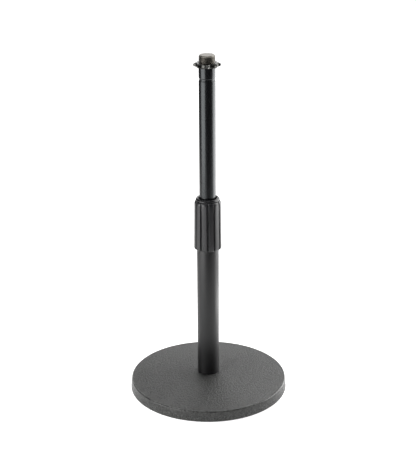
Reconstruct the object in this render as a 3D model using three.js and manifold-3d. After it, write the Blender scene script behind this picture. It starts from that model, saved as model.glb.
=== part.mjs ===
// Desktop microphone stand: a round cast base, a telescopic mast and a hand clutch.
// Millimetres, +Z up. The origin is on the floor, under the centre of the base.
// The mast is drawn fully raised, with the clutch tight and the lock ring down.
import * as THREE from "three";
import { mergeVertices } from "three/addons/utils/BufferGeometryUtils.js";
import Module from "manifold-3d";

// ---------------------------------------------------------------- driving dimensions
const GAP = 0.3; // clearance kept between faces that touch or slide

// rubber feet
const FOOT_D = 11.0;
const FOOT_PROUD = 1.0; // how far a foot stands below the base
const FOOT_INSET = 1.2; // depth of its pocket
const FOOT_CIRCLE_R = 71.0;
const FOOT_COUNT = 4;

// cast base
const BASE_D_BOTTOM = 158.5;
const BASE_D_TOP = 156.4;
const BASE_RIM_Z = 11.5; // height of the top rim above the floor
const BASE_SEAT_Z = 16.7; // flat seat of the tube at the centre
const BASE_SEAT_R = 12.0;
const BASE_EDGE_R = 1.2; // rounding of the top edge
const BASE_BORE_R = 8.2;
const RECESS_Z = 4.9; // ceiling of the recess in the underside
const RECESS_R_IN = 20.0;
const RECESS_R_OUT = 63.5;
const BOSS_Z = 1.6;
const RIB_COUNT = 6;
const RIB_T = 3.0;

// lower tube
const LOWER_OD = 22.0;
const LOWER_ID = 19.0;
const LOWER_Z0 = BASE_SEAT_Z + GAP;
const LOWER_Z1 = 165.0;

// threaded plug that holds the lower tube on the base
const PLUG_THREAD_R = 7.9;
const PLUG_Z0 = 3.0;
const PLUG_TOP = 29.0;

// clutch
const BUSH_Z0 = 151.0; // threaded bushing in the mouth of the lower tube
const BUSH_BORE_R = 8.35;
const BUSH_THREAD_R = 9.4;
const BUSH_Z1 = 181.0;
const COLLET_Z1 = 198.0;
const COLLET_R_BOTTOM = 9.6;
const COLLET_R_TOP = 8.95;
const COLLET_SLOT = 1.2;
const CORE_Z0 = 168.0;
const CORE_R = 11.0;
const COLLAR_R = 11.85;
const COLLAR_Z0 = 201.8;
const COLLAR_Z1 = 204.4;
const GRIP_Z0 = 152.1;
const GRIP_Z1 = 201.3;
const GRIP_R_BOTTOM = 13.95;
const GRIP_R_TOP = 13.25;
const GRIP_BORE_R = LOWER_OD / 2 + GAP;
const GRIP_LOBES = 12;
const GRIP_GROOVE_R = 1.2; // radius of the round groove between two lobes
const GRIP_GROOVE_DEPTH = 1.5;

// upper tube
const UPPER_OD = 16.0;
const UPPER_ID = 13.6;
const UPPER_Z0 = 131.0;
const UPPER_Z1 = 333.3;
const GUIDE_Z0 = 138.0; // guide ring in the groove at the foot of the upper tube
const GUIDE_Z1 = 148.0;
const GUIDE_R = LOWER_ID / 2 - GAP;
const GUIDE_GROOVE_R = 7.2;
const CRIMP_Z = 322.0; // rolled groove that holds the threaded end
const CRIMP_DEPTH = 0.45;

// threaded end, 5/8 in - 27 UNS, drawn at its crest diameter
const THREAD_R = 7.9;
const STUD_TOP = 345.0;
const STUD_CHAMFER = 1.1;
const STUD_PLUG_R = 6.5;
const STUD_Z0 = 312.0;

// lock ring
const RING_Z0 = 333.9;
const RING_Z1 = 337.6;
const RING_R = 13.4;
const RING_LOBES = 8;
const RING_SCALLOP_R = 5.2;
const RING_SCALLOP_AT = 15.5; // distance of a scallop's centre from the axis

// facets round each piece
const N_BASE = 60;
const N_TUBE = 32;

// ---------------------------------------------------------------- solid helpers
const wasm = await Module();
wasm.setup();

// A three.js geometry as a closed solid, turned right side out.
function solid(geometry) {
  const g = geometry.clone();
  g.deleteAttribute("normal");
  g.deleteAttribute("uv");
  const merged = mergeVertices(g, 1e-4);
  const index = merged.index.array;
  let tri = [];
  for (let i = 0; i < index.length; i += 3) {
    const [a, b, c] = [index[i], index[i + 1], index[i + 2]];
    if (a !== b && b !== c && c !== a) tri.push(a, b, c);
  }
  const make = (t) =>
    new wasm.Manifold(
      new wasm.Mesh({
        numProp: 3,
        vertProperties: new Float32Array(merged.attributes.position.array),
        triVerts: new Uint32Array(t),
      }),
    );
  let made = make(tri);
  if (made.volume() < 0) {
    const turned = [];
    for (let i = 0; i < tri.length; i += 3)
      turned.push(tri[i], tri[i + 2], tri[i + 1]);
    made = make(turned);
  }
  return made;
}

// Revolves [r, z] points about Z. A profile that doesn't touch the axis is closed on itself.
function revolve(profile, segments) {
  const pts = profile.map(([r, z]) => new THREE.Vector2(r, z));
  const onAxis = profile[0][0] === 0 && profile[profile.length - 1][0] === 0;
  if (!onAxis) pts.push(pts[0].clone());
  const g = new THREE.LatheGeometry(pts, segments);
  g.rotateX(Math.PI / 2);
  return solid(g);
}

function box(x, y, z, cx, cy, cz, turn = 0) {
  const g = new THREE.BoxGeometry(x, y, z);
  g.translate(cx, cy, cz);
  g.rotateZ(turn);
  return solid(g);
}

// A cylinder from z0 to z1 with its centre at (x, y), leaning by lean about the line
// that is tangent to the circle through its centre.
function post(r, z0, z1, at, angle, segments, lean = 0) {
  const g = new THREE.CylinderGeometry(r, r, z1 - z0, segments);
  g.rotateX(Math.PI / 2);
  g.rotateY(lean);
  g.translate(at, 0, (z0 + z1) / 2);
  g.rotateZ(angle);
  return solid(g);
}

function geometryOf(made) {
  const mesh = made.getMesh();
  const g = new THREE.BufferGeometry();
  g.setAttribute(
    "position",
    new THREE.BufferAttribute(new Float32Array(mesh.vertProperties), 3),
  );
  g.setIndex(new THREE.BufferAttribute(new Uint32Array(mesh.triVerts), 1));
  const flat = g.toNonIndexed();
  flat.computeVertexNormals();
  return flat;
}

const stand = new THREE.Group();

function piece(name, made, look, parent = stand) {
  const mesh = new THREE.Mesh(
    geometryOf(made),
    new THREE.MeshStandardMaterial(look),
  );
  mesh.name = name;
  parent.add(mesh);
  return mesh;
}

const FRONT = -Math.PI / 2; // the front of the stand faces -Y

// ---------------------------------------------------------------- base
// Shallow dome from the seat to the rim, drafted side, flat rim land with foot
// pockets, and a ribbed recess with a boss round the threaded hole.
{
  const rimR = BASE_D_TOP / 2;
  const footR = BASE_D_BOTTOM / 2;
  const z0 = FOOT_PROUD;
  const domeEnd = rimR - BASE_EDGE_R;
  const dome = (r) =>
    BASE_SEAT_Z -
    (BASE_SEAT_Z - BASE_RIM_Z) *
      ((r - BASE_SEAT_R) / (domeEnd - BASE_SEAT_R)) ** 1.6;
  const profile = [
    [BASE_BORE_R, BOSS_Z],
    [RECESS_R_IN, BOSS_Z],
    [RECESS_R_IN + 0.6, RECESS_Z],
    [RECESS_R_OUT - 0.6, RECESS_Z],
    [RECESS_R_OUT, z0],
    [footR - 0.9, z0],
    [footR, z0 + 0.9],
    [rimR, BASE_RIM_Z - BASE_EDGE_R],
    [rimR - BASE_EDGE_R * 0.3, BASE_RIM_Z - BASE_EDGE_R * 0.3],
    [domeEnd, BASE_RIM_Z],
    [60, dome(60)],
    [45, dome(45)],
    [30, dome(30)],
    [BASE_SEAT_R, BASE_SEAT_Z],
    [BASE_BORE_R, BASE_SEAT_Z],
  ];
  let base = revolve(profile, N_BASE);
  for (let i = 0; i < RIB_COUNT; i++) {
    const length = RECESS_R_OUT - RECESS_R_IN + 2;
    base = base.add(
      box(
        length,
        RIB_T,
        RECESS_Z - BOSS_Z + 1,
        (RECESS_R_OUT + RECESS_R_IN) / 2,
        0,
        (RECESS_Z + BOSS_Z + 1) / 2,
        (i * 2 * Math.PI) / RIB_COUNT,
      ),
    );
  }
  for (let i = 0; i < FOOT_COUNT; i++) {
    const a = Math.PI / 4 + (i * 2 * Math.PI) / FOOT_COUNT;
    base = base.subtract(
      post(FOOT_D / 2 + GAP, z0 - 1, z0 + FOOT_INSET, FOOT_CIRCLE_R, a, 20),
    );
  }
  piece("base_casting", base, { color: 0x2a2b29, roughness: 0.62, metalness: 0.25 });

  for (let i = 0; i < FOOT_COUNT; i++) {
    const a = Math.PI / 4 + (i * 2 * Math.PI) / FOOT_COUNT;
    const pad = revolve(
      [
        [0, 0],
        [FOOT_D / 2 - 0.5, 0],
        [FOOT_D / 2, 0.5],
        [FOOT_D / 2, z0 + FOOT_INSET - GAP],
        [0, z0 + FOOT_INSET - GAP],
      ],
      20,
    ).translate([FOOT_CIRCLE_R * Math.cos(a), FOOT_CIRCLE_R * Math.sin(a), 0]);
    piece("base_foot_" + (i + 1), pad, { color: 0x111111, roughness: 0.85, metalness: 0 });
  }
}

// ---------------------------------------------------------------- lower tube
piece(
  "lower_tube",
  revolve(
    [
      [LOWER_ID / 2, LOWER_Z0],
      [LOWER_OD / 2, LOWER_Z0],
      [LOWER_OD / 2, LOWER_Z1],
      [LOWER_ID / 2, LOWER_Z1],
    ],
    N_TUBE,
  ),
  { color: 0x1b1c1d, roughness: 0.38, metalness: 0.3 },
);

// Plug pressed into the foot of the lower tube. Its threaded end screws into the base.
piece(
  "tube_foot_plug",
  revolve(
    [
      [0, PLUG_Z0],
      [PLUG_THREAD_R - 0.8, PLUG_Z0],
      [PLUG_THREAD_R, PLUG_Z0 + 0.8],
      [PLUG_THREAD_R, LOWER_Z0 + 0.4],
      [LOWER_ID / 2 - GAP, LOWER_Z0 + 0.4],
      [LOWER_ID / 2 - GAP, PLUG_TOP - 0.6],
      [LOWER_ID / 2 - GAP - 0.6, PLUG_TOP],
      [0, PLUG_TOP],
    ],
    N_TUBE,
  ),
  { color: 0x8f8d88, roughness: 0.4, metalness: 1 },
);

// ---------------------------------------------------------------- clutch
// Threaded bushing pressed into the mouth of the lower tube.
piece(
  "clutch_bushing",
  revolve(
    [
      [BUSH_BORE_R, BUSH_Z0],
      [LOWER_ID / 2 - GAP, BUSH_Z0],
      [LOWER_ID / 2 - GAP, LOWER_Z1 + GAP],
      [LOWER_OD / 2 - 0.1, LOWER_Z1 + GAP],
      [LOWER_OD / 2 - 0.1, LOWER_Z1 + 2],
      [BUSH_THREAD_R, LOWER_Z1 + 2],
      [BUSH_THREAD_R, BUSH_Z1 - 0.5],
      [BUSH_THREAD_R - 0.5, BUSH_Z1],
      [BUSH_BORE_R, BUSH_Z1],
    ],
    N_TUBE,
  ),
  { color: 0xa8894a, roughness: 0.35, metalness: 1 },
);

// Split collet: a tapered nylon sleeve with four fingers, squeezed by the core's cone.
{
  let collet = revolve(
    [
      [UPPER_OD / 2 + GAP, BUSH_Z1 + GAP],
      [COLLET_R_BOTTOM, BUSH_Z1 + GAP],
      [COLLET_R_BOTTOM, BUSH_Z1 + 4],
      [COLLET_R_TOP, COLLET_Z1],
      [UPPER_OD / 2 + GAP, COLLET_Z1],
    ],
    N_TUBE,
  );
  for (let i = 0; i < 2; i++)
    collet = collet.subtract(
      box(
        30,
        COLLET_SLOT,
        COLLET_Z1 - BUSH_Z1 - 3,
        0,
        0,
        (COLLET_Z1 + BUSH_Z1 + 5) / 2,
        Math.PI / 4 + (i * Math.PI) / 2,
      ),
    );
  piece("clutch_collet", collet, { color: 0xd9d6cb, roughness: 0.55, metalness: 0 });
}

// Core: female thread, internal cone and the plain collar that shows above the grip.
piece(
  "clutch_core",
  revolve(
    [
      [9.8, CORE_Z0],
      [CORE_R, CORE_Z0],
      [CORE_R, COLLAR_Z0],
      [COLLAR_R, COLLAR_Z0],
      [COLLAR_R, COLLAR_Z1 - 0.5],
      [COLLAR_R - 0.5, COLLAR_Z1],
      [10.6, COLLAR_Z1],
      [8.5, COLLAR_Z1 - 2],
      [8.5, COLLET_Z1 + 0.9],
      [COLLET_R_TOP + GAP, COLLET_Z1 + GAP],
      [COLLET_R_BOTTOM + 0.35, BUSH_Z1 + 4],
      [COLLET_R_BOTTOM + 0.35, BUSH_Z1 + 1.8],
      [9.8, BUSH_Z1 + 1.5],
    ],
    N_TUBE,
  ),
  { color: 0x1d1e20, roughness: 0.4, metalness: 0.4 },
);

// Grip: a tapered sleeve with round lobes, pressed on the core and free of the tube.
{
  const taper = Math.atan2(GRIP_R_BOTTOM - GRIP_R_TOP, GRIP_Z1 - GRIP_Z0);
  let grip = revolve(
    [
      [GRIP_BORE_R, GRIP_Z0],
      [GRIP_R_BOTTOM - 1.6, GRIP_Z0],
      [GRIP_R_BOTTOM - 0.5, GRIP_Z0 + 0.7],
      [GRIP_R_BOTTOM - 0.05, GRIP_Z0 + 2.5],
      [GRIP_R_TOP, GRIP_Z1 - 2.7],
      [GRIP_R_TOP - 0.35, GRIP_Z1 - 1.6],
      [GRIP_BORE_R + 0.45, GRIP_Z1],
      [GRIP_BORE_R, GRIP_Z1],
    ],
    48,
  );
  const midR = (GRIP_R_BOTTOM + GRIP_R_TOP) / 2;
  for (let i = 0; i < GRIP_LOBES; i++) {
    const a = FRONT + (i * 2 * Math.PI) / GRIP_LOBES;
    grip = grip.subtract(
      post(
        GRIP_GROOVE_R,
        GRIP_Z0 - 3,
        GRIP_Z1 + 3,
        midR - GRIP_GROOVE_DEPTH + GRIP_GROOVE_R,
        a,
        10,
        -taper,
      ),
    );
  }
  piece("clutch_grip", grip, { color: 0x18191b, roughness: 0.45, metalness: 0 });
}

// ---------------------------------------------------------------- upper tube
// A rolled groove near the foot holds the guide ring, one near the top the threaded end.
{
  const R = UPPER_OD / 2;
  const r = UPPER_ID / 2;
  const dip = R - GUIDE_GROOVE_R;
  piece(
    "upper_tube",
    revolve(
      [
        [r, UPPER_Z0],
        [R, UPPER_Z0],
        [R, GUIDE_Z0 - 1],
        [R - dip, GUIDE_Z0 - GAP],
        [R - dip, GUIDE_Z1 + GAP],
        [R, GUIDE_Z1 + 1],
        [R, CRIMP_Z - 1.6],
        [R - CRIMP_DEPTH, CRIMP_Z - 0.6],
        [R - CRIMP_DEPTH, CRIMP_Z + 0.6],
        [R, CRIMP_Z + 1.6],
        [R, UPPER_Z1],
        [r, UPPER_Z1],
        [r, CRIMP_Z + 1.2],
        [r - 0.35, CRIMP_Z + 0.4],
        [r - 0.35, CRIMP_Z - 0.4],
        [r, CRIMP_Z - 1.2],
        [r, GUIDE_Z1 + 1],
        [r - dip, GUIDE_Z1 + GAP],
        [r - dip, GUIDE_Z0 - GAP],
        [r, GUIDE_Z0 - 1],
      ],
      N_TUBE,
    ),
    { color: 0x17181a, roughness: 0.28, metalness: 0.45 },
  );
}

// Split guide ring: slides in the lower tube, and stops the upper tube at the bushing.
piece(
  "mast_guide_ring",
  revolve(
    [
      [GUIDE_GROOVE_R + GAP, GUIDE_Z0],
      [GUIDE_R, GUIDE_Z0],
      [GUIDE_R, GUIDE_Z1],
      [GUIDE_GROOVE_R + GAP, GUIDE_Z1],
    ],
    N_TUBE,
  ).subtract(box(10, 1.6, 30, 8, 0, (GUIDE_Z0 + GUIDE_Z1) / 2, Math.PI / 2)),
  { color: 0xe4e1d6, roughness: 0.5, metalness: 0 },
);

// ---------------------------------------------------------------- threaded end
piece(
  "thread_stud",
  revolve(
    [
      [0, STUD_Z0],
      [STUD_PLUG_R - 0.6, STUD_Z0],
      [STUD_PLUG_R, STUD_Z0 + 0.6],
      [STUD_PLUG_R, CRIMP_Z - 1.4],
      [STUD_PLUG_R - 0.4, CRIMP_Z - 0.6],
      [STUD_PLUG_R - 0.4, CRIMP_Z + 0.6],
      [STUD_PLUG_R, CRIMP_Z + 1.4],
      [STUD_PLUG_R, UPPER_Z1 + GAP],
      [THREAD_R, UPPER_Z1 + GAP],
      [THREAD_R, STUD_TOP - STUD_CHAMFER],
      [THREAD_R - STUD_CHAMFER, STUD_TOP],
      [0, STUD_TOP],
    ],
    N_TUBE,
  ),
  { color: 0x9a958c, roughness: 0.32, metalness: 1 },
);

// Lock ring: a scalloped nut, turned up the thread against whatever is fitted.
{
  let ring = revolve(
    [
      [THREAD_R + GAP, RING_Z0],
      [RING_R - 0.6, RING_Z0],
      [RING_R, RING_Z0 + 0.6],
      [RING_R, RING_Z1 - 0.8],
      [RING_R - 0.8, RING_Z1],
      [THREAD_R + GAP, RING_Z1],
    ],
    60,
  );
  for (let i = 0; i < RING_LOBES; i++) {
    const a = FRONT + ((i + 0.5) * 2 * Math.PI) / RING_LOBES;
    ring = ring.subtract(
      post(RING_SCALLOP_R, RING_Z0 - 1, RING_Z1 + 1, RING_SCALLOP_AT, a, 16),
    );
  }
  piece("lock_ring", ring, { color: 0x2a2a2a, roughness: 0.3, metalness: 0.9 });
}

export default stand;
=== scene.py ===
import math

import bpy
import bmesh
from mathutils import Vector, Matrix, noise


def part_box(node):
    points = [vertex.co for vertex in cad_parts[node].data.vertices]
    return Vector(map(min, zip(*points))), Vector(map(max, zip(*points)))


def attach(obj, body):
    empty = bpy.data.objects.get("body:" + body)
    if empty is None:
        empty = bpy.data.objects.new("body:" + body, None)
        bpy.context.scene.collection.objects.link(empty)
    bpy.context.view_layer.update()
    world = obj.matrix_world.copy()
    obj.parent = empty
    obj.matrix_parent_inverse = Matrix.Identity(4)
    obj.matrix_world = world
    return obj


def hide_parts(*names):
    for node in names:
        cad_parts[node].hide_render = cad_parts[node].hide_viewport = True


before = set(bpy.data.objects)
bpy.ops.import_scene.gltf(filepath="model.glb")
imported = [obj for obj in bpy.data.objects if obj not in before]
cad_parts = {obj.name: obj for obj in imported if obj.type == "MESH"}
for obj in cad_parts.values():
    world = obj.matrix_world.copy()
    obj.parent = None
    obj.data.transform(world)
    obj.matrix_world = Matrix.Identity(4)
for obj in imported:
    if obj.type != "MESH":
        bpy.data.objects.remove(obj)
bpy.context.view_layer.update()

MM = 0.001
TAU = 2 * math.pi
FRONT = -math.pi / 2          # the front of the stand faces -Y


def mm_box(node):
    lo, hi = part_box(node)
    return [v / MM for v in lo], [v / MM for v in hi]


# ------------------------------------------------------------------ mesh helpers
def make(name, verts, faces, sharp=32.0):
    """A smooth-shaded object from points in mm, with edges over `sharp` degrees kept crisp."""
    me = bpy.data.meshes.new(name)
    me.from_pydata([(x * MM, y * MM, z * MM) for x, y, z in verts], [], faces)
    bm = bmesh.new()
    bm.from_mesh(me)
    bmesh.ops.remove_doubles(bm, verts=bm.verts, dist=1e-7)
    bmesh.ops.dissolve_degenerate(bm, edges=bm.edges, dist=1e-8)
    bmesh.ops.recalc_face_normals(bm, faces=bm.faces)
    bm.to_mesh(me)
    bm.free()
    me.polygons.foreach_set("use_smooth", [True] * len(me.polygons))
    me.set_sharp_from_angle(angle=math.radians(sharp))
    me.update()
    ob = bpy.data.objects.new(name, me)
    bpy.context.scene.collection.objects.link(ob)
    return ob


def rounded(profile, closed=False, steps=5):
    """[(r, z, fillet radius)] with each corner turned into an arc."""
    pts = [(p[0], p[1], p[2] if len(p) > 2 else 0.0) for p in profile]
    n = len(pts)
    out = []
    for i, (x, y, f) in enumerate(pts):
        if f <= 0 or (not closed and i in (0, n - 1)):
            out.append((x, y))
            continue
        p = Vector((x, y))
        a = Vector(pts[(i - 1) % n][:2]) - p
        b = Vector(pts[(i + 1) % n][:2]) - p
        la, lb = a.length, b.length
        a.normalize(); b.normalize()
        ang = math.acos(max(-1, min(1, a.dot(b))))
        if ang > math.pi - 1e-3:
            out.append((x, y))
            continue
        t = min(f / math.tan(ang / 2), la * 0.48, lb * 0.48)
        r = t * math.tan(ang / 2)
        c = p + (a + b).normalized() * (r / math.sin(ang / 2))
        s, e = p + a * t - c, p + b * t - c
        a0, a1 = math.atan2(s.y, s.x), math.atan2(e.y, e.x)
        d = (a1 - a0 + math.pi) % TAU - math.pi
        for k in range(steps + 1):
            w = a0 + d * k / steps
            out.append((c.x + r * math.cos(w), c.y + r * math.sin(w)))
    return out


def lathe(name, profile, n=128, sharp=32.0, steps=5):
    """Revolves a profile about Z. A profile that stays off the axis is closed on itself."""
    on_axis = profile[0][0] == 0 and profile[-1][0] == 0
    pts = rounded(profile, closed=not on_axis, steps=steps)
    verts, rows = [], []
    for r, z in pts:
        if r < 1e-9:
            rows.append([len(verts)] * n)
            verts.append((0.0, 0.0, z))
        else:
            rows.append(list(range(len(verts), len(verts) + n)))
            verts += [(r * math.cos(TAU * j / n), r * math.sin(TAU * j / n), z) for j in range(n)]
    faces = []
    last = len(rows) if not on_axis else len(rows) - 1
    for i in range(last):
        a, b = rows[i], rows[(i + 1) % len(rows)]
        for j in range(n):
            k = (j + 1) % n
            f = [a[j], a[k], b[k], b[j]]
            f = [v for m, v in enumerate(f) if v not in f[:m]]
            if len(f) > 2:
                faces.append(f)
    return make(name, verts, faces, sharp)


def skin(name, section, rows, n, angle0=0.0, sharp=32.0, closed=True):
    """A closed ring of rows: section(i, angle) gives (r, z) for row i, joined row to row all round."""
    verts = []
    for i in range(rows):
        for j in range(n):
            a = angle0 + TAU * j / n
            r, z = section(i, a)
            verts.append((r * math.cos(a), r * math.sin(a), z))
    faces = []
    for i in range(rows if closed else rows - 1):
        i2 = (i + 1) % rows
        for j in range(n):
            k = (j + 1) % n
            faces.append([i * n + j, i * n + k, i2 * n + k, i2 * n + j])
    return make(name, verts, faces, sharp)


def threaded(name, below, z0, z1, crest, root, pitch, above, n=120, hand=1, envelope=None, inner=False, sharp=25.0):
    """A lathe whose middle, from z0 to z1, carries a true helical V thread.
    below and above are [(r, z)] profiles up to z0 and from z1; they start and end on the axis,
    or (a tube) join each other."""
    flat = 0.125
    marks = [(0.0, root), (flat, root), (0.5 - flat * 0.5, crest), (0.5 + flat * 0.5, crest)]

    def radius(z, a):
        u = (z / pitch - hand * a / TAU) % 1.0
        if u < flat:
            r = root
        elif u < 0.5 - flat * 0.5:
            r = root + (crest - root) * (u - flat) / (0.5 - flat * 1.5)
        elif u < 0.5 + flat * 0.5:
            r = crest
        else:
            r = crest + (root - crest) * (u - 0.5 - flat * 0.5) / (0.5 - flat * 0.5)
        if envelope:
            e = envelope(z)
            r = max(r, e) if inner else min(r, e)
        return r

    extra = []
    if envelope and hasattr(envelope, "marks"):
        extra = envelope.marks
    columns = []
    for j in range(n):
        a = TAU * j / n
        zs = {(-1, z0), (10 ** 9, z1)}
        g0 = int(math.floor(z0 / pitch)) - 2
        g1 = int(math.ceil(z1 / pitch)) + 2
        col = []
        for g in range(g0, g1 + 1):
            for m, (u, _) in enumerate(marks):
                z = (g + u + hand * a / TAU) * pitch
                if z0 + 0.01 < z < z1 - 0.01:
                    col.append(z)
        for z in extra:
            if z0 < z < z1 and all(abs(z - q) > 0.02 for q in col):
                col.append(z)
        col = sorted(col + [z0, z1])
        columns.append([(radius(z, a), z) for z in col])
    verts, ids = [], []
    for j, col in enumerate(columns):
        a = TAU * j / n
        row = []
        for r, z in col:
            row.append(len(verts))
            verts.append((r * math.cos(a), r * math.sin(a), z))
        ids.append(row)
    faces = []
    for j in range(n):
        k = (j + 1) % n
        A, B = ids[j], ids[k]
        ia = ib = 0
        while ia < len(A) - 1 or ib < len(B) - 1:
            if ia == len(A) - 1:
                step = "b"
            elif ib == len(B) - 1:
                step = "a"
            else:
                za, zb = verts[A[ia + 1]][2], verts[B[ib + 1]][2]
                step = "a" if za < zb else "b"
            if step == "a":
                faces.append([A[ia], B[ib], A[ia + 1]])
                ia += 1
            else:
                faces.append([A[ia], B[ib], B[ib + 1]])
                ib += 1

    def ring(r, z):
        if r < 1e-9:
            verts.append((0, 0, z))
            return [len(verts) - 1] * n
        s = len(verts)
        verts.extend((r * math.cos(TAU * j / n), r * math.sin(TAU * j / n), z) for j in range(n))
        return list(range(s, s + n))

    def join(a, b):
        for j in range(n):
            k = (j + 1) % n
            f = [a[j], a[k], b[k], b[j]]
            f = [v for m, v in enumerate(f) if v not in f[:m]]
            if len(f) > 2:
                faces.append(f)

    low = [ids[j][0] for j in range(n)]
    high = [ids[j][-1] for j in range(n)]
    rb = [ring(r, z) for r, z in below]
    ra = [ring(r, z) for r, z in above]
    for p, q in zip(rb, rb[1:]):
        join(p, q)
    if rb:
        join(rb[-1], low)
    if ra:
        join(high, ra[0])
    for p, q in zip(ra, ra[1:]):
        join(p, q)
    if ra and rb and above[-1][0] > 1e-9:
        join(ra[-1], rb[0])
    return make(name, verts, faces, sharp)


def boolean(ob, cutter, op="DIFFERENCE"):
    m = ob.modifiers.new("b", "BOOLEAN")
    m.object, m.operation, m.solver = cutter, op, "EXACT"
    dg = bpy.context.evaluated_depsgraph_get()
    me = bpy.data.meshes.new_from_object(ob.evaluated_get(dg))
    ob.modifiers.clear()
    old, ob.data = ob.data, me
    bpy.data.meshes.remove(old)
    bpy.data.objects.remove(cutter)
    bm = bmesh.new()
    bm.from_mesh(me)
    bmesh.ops.remove_doubles(bm, verts=bm.verts, dist=1e-6)
    bmesh.ops.dissolve_degenerate(bm, edges=bm.edges, dist=1e-7)
    bm.to_mesh(me)
    bm.free()
    me.polygons.foreach_set("use_smooth", [True] * len(me.polygons))
    me.set_sharp_from_angle(angle=math.radians(30))
    return ob


# ------------------------------------------------------------------ material helpers
def material(name):
    m = bpy.data.materials.new(name)
    m.use_nodes = True
    nt = m.node_tree
    bsdf = nt.nodes["Principled BSDF"]
    return m, nt, bsdf


def node(nt, kind, **values):
    nd = nt.nodes.new(kind)
    for k, v in values.items():
        if hasattr(nd, k) and k not in nd.inputs:
            setattr(nd, k, v)
        else:
            nd.inputs[k].default_value = v
    return nd


def coords(nt, scale=(1, 1, 1)):
    tc = nt.nodes.new("ShaderNodeTexCoord")
    mp = nt.nodes.new("ShaderNodeMapping")
    mp.inputs["Scale"].default_value = scale
    nt.links.new(tc.outputs["Object"], mp.inputs["Vector"])
    return mp.outputs["Vector"]


def fbm(nt, vec, scale, detail=3.0, rough=0.55):
    nd = nt.nodes.new("ShaderNodeTexNoise")
    nd.inputs["Scale"].default_value = scale
    nd.inputs["Detail"].default_value = detail
    nd.inputs["Roughness"].default_value = rough
    nt.links.new(vec, nd.inputs["Vector"])
    return nd.outputs["Fac"]


def remap(nt, value, a, b, c, d):
    nd = nt.nodes.new("ShaderNodeMapRange")
    for k, v in zip(("From Min", "From Max", "To Min", "To Max"), (a, b, c, d)):
        nd.inputs[k].default_value = v
    nt.links.new(value, nd.inputs["Value"])
    return nd.outputs["Result"]


def ramp(nt, value, stops):
    nd = nt.nodes.new("ShaderNodeValToRGB")
    el = nd.color_ramp.elements
    el[0].position, el[0].color = stops[0][0], (*stops[0][1], 1)
    el[1].position, el[1].color = stops[-1][0], (*stops[-1][1], 1)
    for p, c in stops[1:-1]:
        e = el.new(p)
        e.color = (*c, 1)
    nt.links.new(value, nd.inputs["Fac"])
    return nd.outputs["Color"]


def bump(nt, bsdf, height, strength, distance, after=None):
    nd = nt.nodes.new("ShaderNodeBump")
    if isinstance(strength, float):
        nd.inputs["Strength"].default_value = strength
    else:
        nt.links.new(strength, nd.inputs["Strength"])
    nd.inputs["Distance"].default_value = distance
    nt.links.new(height, nd.inputs["Height"])
    if after is not None:
        nt.links.new(after, nd.inputs["Normal"])
    nt.links.new(nd.outputs["Normal"], bsdf.inputs["Normal"])
    return nd.outputs["Normal"]


def attr(nt, name):
    nd = nt.nodes.new("ShaderNodeAttribute")
    nd.attribute_name = name
    return nd.outputs["Fac"]


def mix(nt, fac, a, b):
    nd = nt.nodes.new("ShaderNodeMix")
    nd.data_type = "RGBA"
    for key, v in (("A", a), ("B", b)):
        s = [i for i in nd.inputs if i.name == key and i.type == "RGBA"][0]
        if isinstance(v, tuple):
            s.default_value = (*v, 1)
        else:
            nt.links.new(v, s)
    f = nd.inputs["Factor"]
    if isinstance(fac, float):
        f.default_value = fac
    else:
        nt.links.new(fac, f)
    return [o for o in nd.outputs if o.type == "RGBA"][0]


def paint(ob, mat):
    ob.data.materials.clear()
    ob.data.materials.append(mat)
    return ob


# ------------------------------------------------------------------ materials
def powder_coat():
    """Fine-grained satin black powder coat over a casting, rubbed smoother along the rim."""
    m, nt, b = material("powder_coat")
    v = coords(nt)
    pebble = fbm(nt, v, 560, 3.0, 0.75)
    swell = fbm(nt, v, 560, 3.0, 0.65)
    grain = fbm(nt, v, 1000, 2.0, 0.6)
    fine = fbm(nt, v, 2600, 2.0, 0.5)
    broad = fbm(nt, v, 32, 3.0, 0.5)
    tone = ramp(nt, pebble, [(0.40, (0.0025, 0.0026, 0.0024)), (0.60, (0.0450, 0.0460, 0.0435))])
    drift = ramp(nt, broad, [(0.3, (0.88, 0.88, 0.88)), (0.7, (1.08, 1.08, 1.07))])
    mul = nt.nodes.new("ShaderNodeMix")
    mul.data_type, mul.blend_type = "RGBA", "MULTIPLY"
    mul.inputs["Factor"].default_value = 1.0
    rg = [i for i in mul.inputs if i.type == "RGBA"]
    nt.links.new(tone, rg[0]); nt.links.new(drift, rg[1])
    nt.links.new([o for o in mul.outputs if o.type == "RGBA"][0], b.inputs["Base Color"])
    coat = remap(nt, pebble, 0.40, 0.60, 0.28, 0.48)
    worn = nt.nodes.new("ShaderNodeMix")
    worn.data_type = "FLOAT"
    fl = [i for i in worn.inputs if i.type == "VALUE"]
    nt.links.new(attr(nt, "wear"), fl[0])
    nt.links.new(coat, fl[1])
    fl[2].default_value = 0.20
    nt.links.new([o for o in worn.outputs if o.type == "VALUE"][0], b.inputs["Roughness"])
    keep = remap(nt, attr(nt, "wear"), 0.0, 1.0, 1.0, 0.12)      # the rubbed rim is smoother
    ns = bump(nt, b, swell, keep, 0.00058)
    n0 = bump(nt, b, pebble, keep, 0.00060, ns)
    n1 = bump(nt, b, grain, keep, 0.00040, n0)
    bump(nt, b, fine, 0.4, 0.00012, n1)
    b.inputs["Specular IOR Level"].default_value = 0.55
    return m


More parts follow.
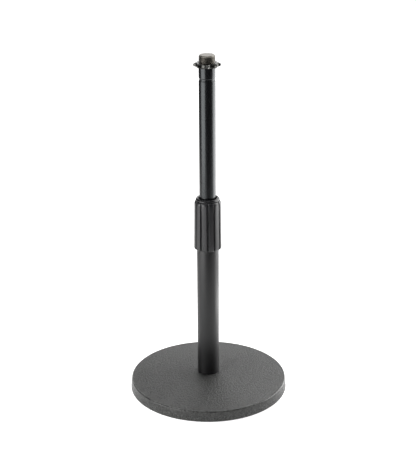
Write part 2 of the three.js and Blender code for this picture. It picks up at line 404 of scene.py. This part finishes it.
def tube_coat(name, colour, rough, peel):
    """Black coat on drawn tube: faint orange peel, slight drift of gloss, light rub marks along Z."""
    m, nt, b = material(name)
    v = coords(nt)
    long = coords(nt, (1, 1, 0.05))
    broad = fbm(nt, v, 60, 3.0, 0.5)
    orange = fbm(nt, v, 420, 2.0, 0.5)
    rub = fbm(nt, long, 900, 3.0, 0.6)
    tone = ramp(nt, broad, [(0.25, tuple(c * 0.88 for c in colour)), (0.75, tuple(c * 1.12 for c in colour))])
    nt.links.new(tone, b.inputs["Base Color"])
    r1 = remap(nt, rub, 0.35, 0.7, rough * 0.93, rough * 1.1)
    nt.links.new(r1, b.inputs["Roughness"])
    n1 = bump(nt, b, orange, peel, 0.00008)
    bump(nt, b, rub, 0.06, 0.00003, n1)
    return m


def tinted(m, tint):
    m.node_tree.nodes["Principled BSDF"].inputs["Specular Tint"].default_value = (*tint, 1)
    return m


def nylon(name, colour, rough):
    """Moulded satin nylon with a very fine tool texture and polished, lighter edges."""
    m, nt, b = material(name)
    v = coords(nt)
    fine = fbm(nt, v, 1500, 2.0, 0.5)
    broad = fbm(nt, v, 90, 3.0, 0.5)
    wear = attr(nt, "wear")
    tone = ramp(nt, broad, [(0.3, tuple(c * 0.9 for c in colour)), (0.7, tuple(c * 1.1 for c in colour))])
    worn = mix(nt, wear, tone, tuple(c * 1.9 + 0.004 for c in colour))
    nt.links.new(worn, b.inputs["Base Color"])
    r = remap(nt, fine, 0.3, 0.7, rough * 0.93, rough * 1.08)
    nt.links.new(r, b.inputs["Roughness"])
    bump(nt, b, fine, 0.18, 0.00006)
    b.inputs["Specular IOR Level"].default_value = 0.62
    return m


def metal(name, colour, rough, dark_tone=(0.05, 0.045, 0.04)):
    """Turned metal: fine circular tool marks, and the colour mixed towards a dark colour by a per-point value; on
    the threaded end that is painted shade.
    """
    m, nt, b = material(name)
    v = coords(nt)
    mark = fbm(nt, v, 700, 3.0, 0.6)
    broad = fbm(nt, v, 120, 3.0, 0.5)
    ring = coords(nt, (0.02, 0.02, 1))
    lines = fbm(nt, ring, 4200, 2.0, 0.5)
    tone = ramp(nt, broad, [(0.3, tuple(c * 0.9 for c in colour)), (0.7, tuple(min(1, c * 1.08) for c in colour))])
    # the colour is mixed towards the dark colour by the per-point value: painted shade on the threaded end, darker
    # thread roots on the plug
    col = mix(nt, attr(nt, "dark_tone"), tone, dark_tone)
    nt.links.new(col, b.inputs["Base Color"])
    b.inputs["Metallic"].default_value = 1.0
    nt.links.new(remap(nt, mark, 0.3, 0.7, rough * 0.85, rough * 1.2), b.inputs["Roughness"])
    bump(nt, b, lines, 0.12, 0.00003)
    return m


def rubber():
    m, nt, b = material("foot_rubber")
    v = coords(nt)
    g = fbm(nt, v, 1800, 3.0, 0.6)
    nt.links.new(ramp(nt, g, [(0.3, (0.012, 0.012, 0.012)), (0.7, (0.022, 0.022, 0.022))]), b.inputs["Base Color"])
    b.inputs["Roughness"].default_value = 0.82
    bump(nt, b, g, 0.4, 0.0001)
    return m


def natural_nylon():
    m, nt, b = material("natural_nylon")
    v = coords(nt)
    g = fbm(nt, v, 500, 3.0, 0.5)
    nt.links.new(ramp(nt, g, [(0.3, (0.62, 0.60, 0.52)), (0.7, (0.72, 0.70, 0.63))]), b.inputs["Base Color"])
    nt.links.new(remap(nt, g, 0.3, 0.7, 0.42, 0.55), b.inputs["Roughness"])
    b.inputs["Subsurface Weight"].default_value = 0.15
    b.inputs["Subsurface Radius"].default_value = (0.002, 0.0018, 0.0014)
    bump(nt, b, g, 0.2, 0.00005)
    return m


MAT = {
    "base": powder_coat(),
    "lower": tube_coat("lower_tube_coat", (0.0044, 0.0044, 0.0048), 0.34, 0.10),
    "upper": tinted(tube_coat("upper_tube_coat", (0.0030, 0.0030, 0.0036), 0.26, 0.05), (0.93, 0.98, 1.0)),
    "core": tube_coat("core_coat", (0.008, 0.008, 0.009), 0.26, 0.08),
    "grip": nylon("grip_nylon", (0.0068, 0.0068, 0.0080), 0.29),
    # the last colour of the threaded end is its painted shade
    "stud": metal("thread_steel", (0.285, 0.268, 0.240), 0.40, (0.070, 0.065, 0.056)),
    "ring": metal("ring_plating", (0.062, 0.062, 0.058), 0.24),
    "steel": metal("plug_steel", (0.46, 0.45, 0.43), 0.34),
    "brass": metal("bushing_brass", (0.66, 0.50, 0.22), 0.30),
    "rubber": rubber(),
    "natural": natural_nylon(),
}


def value(ob, name, f):
    """A per-point value from 0 to 1, from a point's place in mm."""
    a = ob.data.attributes.new(name, "FLOAT", "POINT")
    a.data.foreach_set("value", [max(0.0, min(1.0, f(*(c / MM for c in v.co)))) for v in ob.data.vertices])
    return ob


# ------------------------------------------------------------------ base
(bx0, by0, bz0), (bx1, by1, bz1) = mm_box("base_casting")
BASE_R = bx1
RIM_R = BASE_R - 1.05
RIM_Z = bz0 + 10.5
SEAT_Z = bz1


def dome(r):
    return SEAT_Z - (SEAT_Z - RIM_Z) * (max(0.0, r - 12.0) / (RIM_R - 1.2 - 12.0)) ** 1.6


top = [(r, dome(r), 0) for r in (76.6, 75.8, 72, 68, 64, 60, 56, 52, 48, 44, 40, 36, 32, 28, 24, 20, 17, 14, 12)]
profile = [
    (8.0, 1.6, 0.3), (20.0, 1.6, 0.5), (20.6, 4.9, 0.8), (62.9, 4.9, 0.8), (63.5, bz0, 0.4),
    (BASE_R, bz0, 0.6), (RIM_R, RIM_Z, 1.0),
] + top + [(11.3, SEAT_Z, 0.0), (8.0, SEAT_Z, 0.3)]
base = lathe("base", profile, 240, 24, steps=6)
for i in range(6):
    bpy.ops.mesh.primitive_cube_add(size=1)
    rib = bpy.context.object
    a = TAU * i / 6
    rib.data.transform(Matrix.Rotation(a, 4, "Z") @ Matrix.Translation((0.04175, 0, 0.0037)) @ Matrix.Diagonal((0.0452, 0.003, 0.0042, 1)))
    boolean(base, rib, "UNION")
feet = []
for i in range(4):
    lo, hi = mm_box("base_foot_%d" % (i + 1))
    cx, cy = (lo[0] + hi[0]) / 2, (lo[1] + hi[1]) / 2
    cut = lathe("cut", [(0, -1), (5.75, -1), (5.75, 2.2, 0.3), (0, 2.2)], 64)
    cut.data.transform(Matrix.Translation((cx * MM, cy * MM, 0)))
    boolean(base, cut)
    foot = lathe("rubber_foot_%d" % (i + 1), [(0, 0), (5.5, 0, 0.35), (5.5, 1.9, 0.15), (0, 1.9)], 64)
    foot.data.transform(Matrix.Translation((cx * MM, cy * MM, 0)))
    paint(foot, MAT["rubber"])
    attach(foot, "base"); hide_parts("base_foot_%d" % (i + 1))


def rim_wear(x, y, z):
    r = math.hypot(x, y)
    if z > RIM_Z - 1.05 and r > RIM_R - 1.0:
        return 1.0
    return 0.45 if z > bz0 + 0.3 and r > RIM_R - 0.3 else 0.0


value(base, "wear", rim_wear)
paint(base, MAT["base"])
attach(base, "base"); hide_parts("base_casting")

# ------------------------------------------------------------------ lower tube and plug
lo, hi = mm_box("lower_tube")
lower = lathe("lower_tube_finished", [(9.5, lo[2], 0.2), (10.87, lo[2], 0.25), (10.87, hi[2], 0.3), (9.5, hi[2], 0.2)], 160)
paint(lower, MAT["lower"])
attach(lower, "base"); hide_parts("lower_tube")

lo, hi = mm_box("tube_foot_plug")


def plug_env(z):
    return min(7.9, 7.9 - (lo[2] + 0.9 - z)) if z < lo[2] + 0.9 else 7.9


plug_env_marks = [lo[2] + 0.9]
plug = threaded("tube_foot_plug_finished", [(0, lo[2]), (7.0, lo[2])], lo[2] + 0.05, 15.8, 7.9, 7.32, 0.941,
                [(7.3, 15.85), (7.3, 17.1), (9.2, 17.1), (9.2, 28.4), (8.6, hi[2]), (0, hi[2])], envelope=plug_env)
# the plug's colour is darker towards its thread roots
value(plug, "dark_tone", lambda x, y, z: 0.5 * max(0, 7.8 - math.hypot(x, y)) if z < 16 and math.hypot(x, y) > 7.1 else 0)
paint(plug, MAT["steel"])
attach(plug, "base"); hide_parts("tube_foot_plug")

# ------------------------------------------------------------------ inner clutch pieces
for name, key, slot_name in (("clutch_bushing", "brass", "bushing_brass"), ("clutch_collet", "natural", "collet_nylon"), ("mast_guide_ring", "natural", "collet_nylon")):
    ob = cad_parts[name]
    ob.data.materials.clear()
    ob.data.materials.append(MAT[key])

# ------------------------------------------------------------------ clutch core with its collar
lo, hi = mm_box("clutch_core")
z0, z1 = lo[2], hi[2]
core = lathe("clutch_collar", [
    (9.8, z0, 0.2), (11.0, z0, 0.2), (11.0, z1 - 2.75, 0.05), (11.35, z1 - 2.55, 0.15), (11.68, z1 - 2.35, 0.2), (11.68, z1 - 1.5, 0.35),
    (10.75, z1 - 0.2, 0.35), (10.2, z1, 0.3), (9.5, z1 - 0.1, 0.3), (8.9, z1 - 1.1, 0.3), (8.5, z1 - 2.6, 0.3), (8.5, z1 - 5.5, 0.2),
    (9.25, z1 - 6.1, 0.1), (9.95, z1 - 19.4, 0.1), (9.95, z1 - 21.6, 0.1), (9.8, z1 - 21.9, 0.05)], 160)
paint(core, MAT["core"])
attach(core, "clutch"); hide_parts("clutch_core")

# ------------------------------------------------------------------ clutch grip
lo, hi = mm_box("clutch_grip")
GZ0, GZ1 = lo[2] - 0.3, hi[2]
LOBES = 12
A_BOTTOM, A_TOP = 13.58, 12.93      # distance of a lobe's face from the axis
GROOVE = 1.90                       # depth of the valley between lobes
BORE = 11.3


def grip_face(t, a):
    """Radius of the grip's skin at height share t, angle a."""
    step = TAU / LOBES
    phi = ((a - FRONT) % step) - step / 2            # from the middle of the lobe
    ap = A_BOTTOM + (A_TOP - A_BOTTOM) * t
    flat = ap / math.cos(phi)
    face = flat - 0.45 * (flat - ap)                 # faces are a little crowned
    s = (step / 2 - abs(phi)) * ap                   # arc distance from the groove's middle
    w = 1.42
    if s < w:
        q = s / w
        depth = GROOVE * (0.5 + 0.5 * math.cos(math.pi * q)) ** 0.85
    else:
        depth = 0.0
    return face - depth, depth / GROOVE


rows = []       # (share of height, inset)
R_END = 1.7
for k in range(9):
    w = k / 8 * math.pi / 2
    rows.append((GZ0 + R_END * (1 - math.sin(w)) * 0.9, R_END * (1 - math.cos(w)) * 0.72))
rows = rows[::-1]
SHOULDER = 2.6
body = [GZ0 + R_END * 0.9 + (GZ1 - SHOULDER - 0.4 - GZ0 - R_END * 0.9) * k / 14 for k in range(1, 15)]
rows += [(z, 0.0) for z in body]
rows += [(GZ1 - SHOULDER * (1 - q), v) for q, v in ((0, 0.02), (0.12, 0.07), (0.25, 0.17), (0.4, 0.33), (0.55, 0.51), (0.7, 0.74), (0.85, 0.99), (0.95, 1.18), (1.0, 1.32))]
rows = sorted(rows)
CIRC_B, CIRC_T = 13.74, 13.09       # round envelope that the end chamfers are turned to


def grip_section(i, a):
    if i < len(rows):
        z, inset = rows[i]
        t = (z - GZ0) / (GZ1 - GZ0)
        r, d = grip_face(t, a)
        env = CIRC_B + (CIRC_T - CIRC_B) * t - inset
        soft = 0.10
        # the chamfer is turned round, so it meets the flat faces in arches
        r = -soft * math.log(math.exp(-min(r, 14) / soft) + math.exp(-env / soft)) if inset > 0 else r
        return max(r, BORE + 0.25), z
    if i == len(rows):
        return BORE + 0.2, GZ1
    if i == len(rows) + 1:
        return BORE, GZ1 - 0.2
    if i == len(rows) + 2:
        return BORE, GZ0 + 0.2
    return BORE + 0.2, GZ0


grip = skin("grip_sleeve", grip_section, len(rows) + 4, 12 * 36, FRONT, 40)


def grip_wear(x, y, z):
    r = math.hypot(x, y)
    _, d = grip_face((z - GZ0) / (GZ1 - GZ0), math.atan2(y, x))
    edge = 1 - abs(d - 0.15) / 0.15 if 0 < d < 0.3 else 0
    end = max(0, 1 - abs(z - GZ1 + 1.2) / 0.5)
    n = noise.noise(Vector((x * 0.4, y * 0.4, z * 0.12))) * 0.5 + 0.5
    return (0.7 * max(0, edge) + 0.9 * end) * n if r > BORE + 0.6 else 0


value(grip, "wear", grip_wear)
paint(grip, MAT["grip"])
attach(grip, "clutch"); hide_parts("clutch_grip")

# ------------------------------------------------------------------ upper tube
lo, hi = mm_box("upper_tube")
CR = 321.8
upper = lathe("upper_tube_finished", [
    (6.8, lo[2], 0.2), (8.0, lo[2], 0.3), (8.0, 137.0, 0.3), (7.2, 137.7, 0.2), (7.2, 148.3, 0.2), (8.0, 149.0, 0.3),
    (8.0, CR - 1.75, 0.5), (7.45, CR - 0.5, 0.5), (7.45, CR + 0.8, 0.35), (8.0, CR + 1.45, 0.35),
    (8.0, hi[2], 0.35), (6.8, hi[2], 0.15), (6.8, CR + 1.4, 0.4), (6.3, CR + 0.5, 0.4), (6.3, CR - 0.5, 0.4), (6.8, CR - 1.4, 0.4),
    (6.8, 149.0, 0.3), (6.0, 148.3, 0.2), (6.0, 137.7, 0.2), (6.8, 137.0, 0.3)], 160)
paint(upper, MAT["upper"])
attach(upper, "mast"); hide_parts("upper_tube")

# ------------------------------------------------------------------ threaded end
lo, hi = mm_box("thread_stud")
TOP = hi[2]
CREST, ROOT, PITCH = 7.9, 7.33, 0.9407


def stud_env(z):
    return CREST if z < TOP - 1.15 else CREST - (z - (TOP - 1.15)) * 0.95


stud = threaded("threaded_end", [(0, lo[2]), (5.9, lo[2]), (6.5, lo[2] + 0.6), (6.5, CR - 1.6), (5.9, CR - 0.6), (5.9, CR + 0.6), (6.5, CR + 1.6), (6.5, 333.6), (7.2, 333.62)],
                333.7, TOP - 0.10, CREST, ROOT, PITCH, [(6.72, TOP), (0, TOP)], n=144, envelope=stud_env)
# painted shade: the threaded side is darkened in colour, most in the thread roots, so it reads darker than the top
# face, and the top chamfer is darkened to dim its glint
value(stud, "dark_tone", lambda x, y, z: min(1.0, 0.62 + 0.5 * (7.9 - math.hypot(x, y)) / 0.57) if 333.8 < z < TOP - 1.25 and math.hypot(x, y) > 7.0 else (0.62 if TOP - 1.3 < z < TOP - 0.05 else 0))
paint(stud, MAT["stud"])
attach(stud, "mast"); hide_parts("thread_stud")

# ------------------------------------------------------------------ lock ring
lo, hi = mm_box("lock_ring")
RZ0, RZ1 = lo[2], hi[2]
RING_R, SC_R, SC_AT = 13.3, 5.2, 15.4


def ring_edge(a):
    step = TAU / 8
    phi = ((a - FRONT) % step) - step / 2      # from the middle of a scallop
    d = SC_AT * math.cos(phi)
    q = SC_R ** 2 - (SC_AT * math.sin(phi)) ** 2
    scallop = d - math.sqrt(q) if q > 0 else 99
    k = 0.18
    return -k * math.log(math.exp(-RING_R / k) + math.exp(-min(scallop, 20) / k))


ring_rows = [(8.15, RZ0 + 0.35, False), (8.5, RZ0, False), (1.10, RZ0, True), (0.72, RZ0 + 0.05, True), (0.36, RZ0 + 0.24, True), (0.12, RZ0 + 0.54, True), (0.0, RZ0 + 0.95, True),
             (0.0, RZ1 - 1.25, True), (0.10, RZ1 - 0.85, True), (0.32, RZ1 - 0.48, True), (0.70, RZ1 - 0.18, True), (1.15, RZ1 - 0.03, True), (1.5, RZ1, True), (8.6, RZ1, False), (8.15, RZ1 - 0.4, False)]


def ring_section(i, a):
    v, z, outer = ring_rows[i]
    if not outer:
        return v, z
    # the blank is turned with a long chamfer top and bottom, so the lobes thin towards their tips
    turned = RING_R + 0.15 - 1.75 * max(0.0, abs(z - (RZ0 + 1.75)) - 0.55)
    return min(ring_edge(a) - v * 0.55, turned), z


ring = skin("lock_ring_finished", ring_section, len(ring_rows), 8 * 48, FRONT, 35)
value(ring, "dark_tone", lambda x, y, z: 0.0)
paint(ring, MAT["ring"])
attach(ring, "ring"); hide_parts("lock_ring")

# ------------------------------------------------------------------ studio
scene = bpy.context.scene
scene.view_settings.view_transform = "Standard"
scene.view_settings.look = "None"


def card(name, centre, target, w, h, power, colour=(1, 1, 1)):
    ld = bpy.data.lights.new(name, "AREA")
    ld.shape, ld.size, ld.size_y = "RECTANGLE", w, h
    ld.energy, ld.color = power, colour
    ob = bpy.data.objects.new(name, ld)
    scene.collection.objects.link(ob)
    ob.location = centre
    d = Vector(target) - Vector(centre)
    ob.rotation_euler = d.to_track_quat("-Z", "Y").to_euler()
    ob.visible_camera = False
    return ob


def polar(deg, r, z):
    """deg is measured from the camera's side: 0 is the front, positive to the right."""
    a = math.radians(deg)
    return (r * math.sin(a), -r * math.cos(a), z)


def lit(name, deg, r, w, h, z0, level, colour=(1, 1, 1)):
    """An upright softbox of radiance `level` facing the mast."""
    c = polar(deg, r, z0 + h / 2)
    return card(name, c, (0, 0, z0 + h / 2), w, h, level * w * h * math.pi, colour)


lit("softbox_left", -58, 0.60, 0.62, 0.60, 0.01, 4.4)
lit("softbox_right", 110, 0.48, 0.52, 1.0, 0.005, 4.2)
lit("softbox_low", 106, 0.18, 0.16, 0.032, 0.004, 3.6)
card("backdrop", (0.12, 1.45, 0.61), (0, 0, 0.20), 2.4, 0.92, 1.72 * 2.4 * 0.92 * math.pi)
card("softbox_top", (-0.05, -0.12, 1.30), (0, 0, 0.2), 0.9, 0.9, 2.0 * 0.9 * 0.9 * math.pi)

me = bpy.data.meshes.new("floor")
me.from_pydata([(-0.62, -0.70, 0), (-0.16, -0.70, 0), (-0.06, -0.41, 0), (5, -0.41, 0), (5, 1.50, 0), (-0.62, 1.50, 0)], [], [(0, 1, 2, 3, 4, 5)])
floor = bpy.data.objects.new("floor", me)
scene.collection.objects.link(floor)
fm, nt, b = material("floor_white")
b.inputs["Base Color"].default_value = (0.82, 0.82, 0.82, 1)
b.inputs["Roughness"].default_value = 0.9
b.inputs["Specular IOR Level"].default_value = 0.1
b.inputs["Emission Color"].default_value = (1, 1, 1, 1)
fl = nt.nodes.new("ShaderNodeLightPath")
fr = nt.nodes.new("ShaderNodeMapRange")
fr.inputs["To Min"].default_value = 0.30
fr.inputs["To Max"].default_value = 0.86
nt.links.new(fl.outputs["Is Camera Ray"], fr.inputs["Value"])
nt.links.new(fr.outputs["Result"], b.inputs["Emission Strength"])
me.materials.append(fm)

world = bpy.data.worlds.new("studio")
scene.world = world
world.use_nodes = True
wn = world.node_tree
bg = wn.nodes["Background"]
bg.inputs["Color"].default_value = (1, 1, 1, 1)
lp = wn.nodes.new("ShaderNodeLightPath")
wr = wn.nodes.new("ShaderNodeMapRange")
wr.inputs["To Min"].default_value = 0.06
wr.inputs["To Max"].default_value = 1.15
wn.links.new(lp.outputs["Is Camera Ray"], wr.inputs["Value"])
wn.links.new(wr.outputs["Result"], bg.inputs["Strength"])

cam = bpy.data.cameras.new("camera")
cam.sensor_width = 36
cam.lens = 1258.0 * 36 / 462
cam_ob = bpy.data.objects.new("camera", cam)
scene.collection.objects.link(cam_ob)
cam_ob.location = (0.00022, -1.1528, 0.6094)
pitch, roll = math.radians(20.898), math.radians(-0.28)
look = Matrix.Rotation(math.pi / 2 - pitch, 4, "X") @ Matrix.Rotation(roll, 4, "Z")
cam_ob.matrix_world = Matrix.Translation(cam_ob.location) @ look
cam.clip_start, cam.clip_end = 0.01, 50
scene.camera = cam_ob
